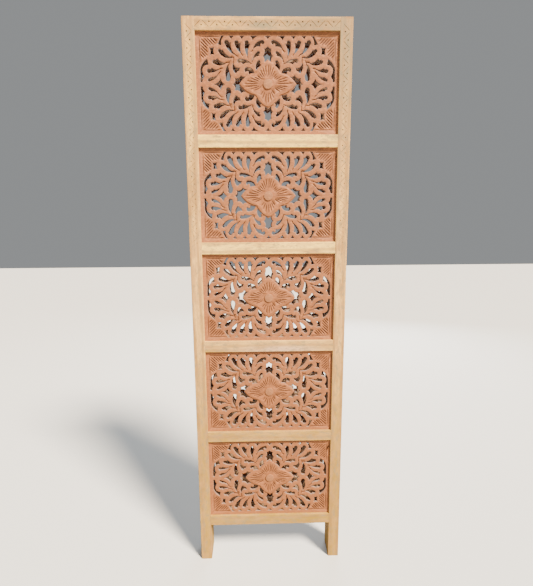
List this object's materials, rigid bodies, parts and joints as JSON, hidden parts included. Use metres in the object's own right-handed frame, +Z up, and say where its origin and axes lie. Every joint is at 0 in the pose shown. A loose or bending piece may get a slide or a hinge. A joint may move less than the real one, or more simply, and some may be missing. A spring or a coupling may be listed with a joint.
{
  "type": "folding screen",
  "caption": "Free-standing folding room screen of hinged wooden leaves, each a pegged frame on short legs holding pierced and carved fretwork boards.",
  "frame": {"origin": "on the floor under the middle of the screen's outline when it is folded flat", "axes": "+Z up, +X to the right of someone facing the front leaf's carved face, +Y from that face towards the leaves folded behind it"},
  "size_m": [0.5192, 0.081, 1.829],
  "materials": {
    "frame_wood": "pale straw mango wood, thin matt wax",
    "carved_board": "reddish brown stained board, matt",
    "peg_wood": "end grain, matt",
    "hinge_metal": "dull rolled sheet",
    "screw_metal": "turned, dull"
  },
  "bodies": {
    "front_leaf": {"front_left_stile": "frame_wood", "front_right_stile": "frame_wood", "front_top_rail": "frame_wood", "front_middle_rail_1": "frame_wood", "front_middle_rail_2": "frame_wood", "front_middle_rail_3": "frame_wood", "front_middle_rail_4": "frame_wood", "front_bottom_rail": "frame_wood", "front_carved_insert_1": "carved_board", "front_carved_insert_2": "carved_board", "front_carved_insert_3": "carved_board", "front_carved_insert_4": "carved_board", "front_carved_insert_5": "carved_board", "front_tenon_pegs": "peg_wood", "right_hinge_flaps_front": "hinge_metal", "right_hinge_screws_front": "screw_metal", "right_hinge_pins": "screw_metal"},
    "middle_leaf": {"middle_left_stile": "frame_wood", "middle_right_stile": "frame_wood", "middle_top_rail": "frame_wood", "middle_middle_rail_1": "frame_wood", "middle_middle_rail_2": "frame_wood", "middle_middle_rail_3": "frame_wood", "middle_middle_rail_4": "frame_wood", "middle_bottom_rail": "frame_wood", "middle_carved_insert_1": "carved_board", "middle_carved_insert_2": "carved_board", "middle_carved_insert_3": "carved_board", "middle_carved_insert_4": "carved_board", "middle_carved_insert_5": "carved_board", "middle_tenon_pegs": "peg_wood", "right_hinge_flaps_middle": "hinge_metal", "right_hinge_screws_middle": "screw_metal", "left_hinge_flaps_middle": "hinge_metal", "left_hinge_screws_middle": "screw_metal"},
    "rear_leaf": {"rear_left_stile": "frame_wood", "rear_right_stile": "frame_wood", "rear_top_rail": "frame_wood", "rear_middle_rail_1": "frame_wood", "rear_middle_rail_2": "frame_wood", "rear_middle_rail_3": "frame_wood", "rear_middle_rail_4": "frame_wood", "rear_bottom_rail": "frame_wood", "rear_carved_insert_1": "carved_board", "rear_carved_insert_2": "carved_board", "rear_carved_insert_3": "carved_board", "rear_carved_insert_4": "carved_board", "rear_carved_insert_5": "carved_board", "rear_tenon_pegs": "peg_wood", "left_hinge_flaps_rear": "hinge_metal", "left_hinge_screws_rear": "screw_metal", "left_hinge_pins": "screw_metal"}
  },
  "joints": [
    {"name": "right_hinge", "type": "hinge", "parent": "front_leaf", "child": "middle_leaf", "pos_m": [0.256, -0.014, 0.9], "axis": [0, 0, -1], "range_deg": [0, 180]},
    {"name": "left_hinge", "type": "hinge", "parent": "middle_leaf", "child": "rear_leaf", "pos_m": [-0.256, 0.014, 0.9], "axis": [0, 0, 1], "range_deg": [0, 180]}
  ]
}
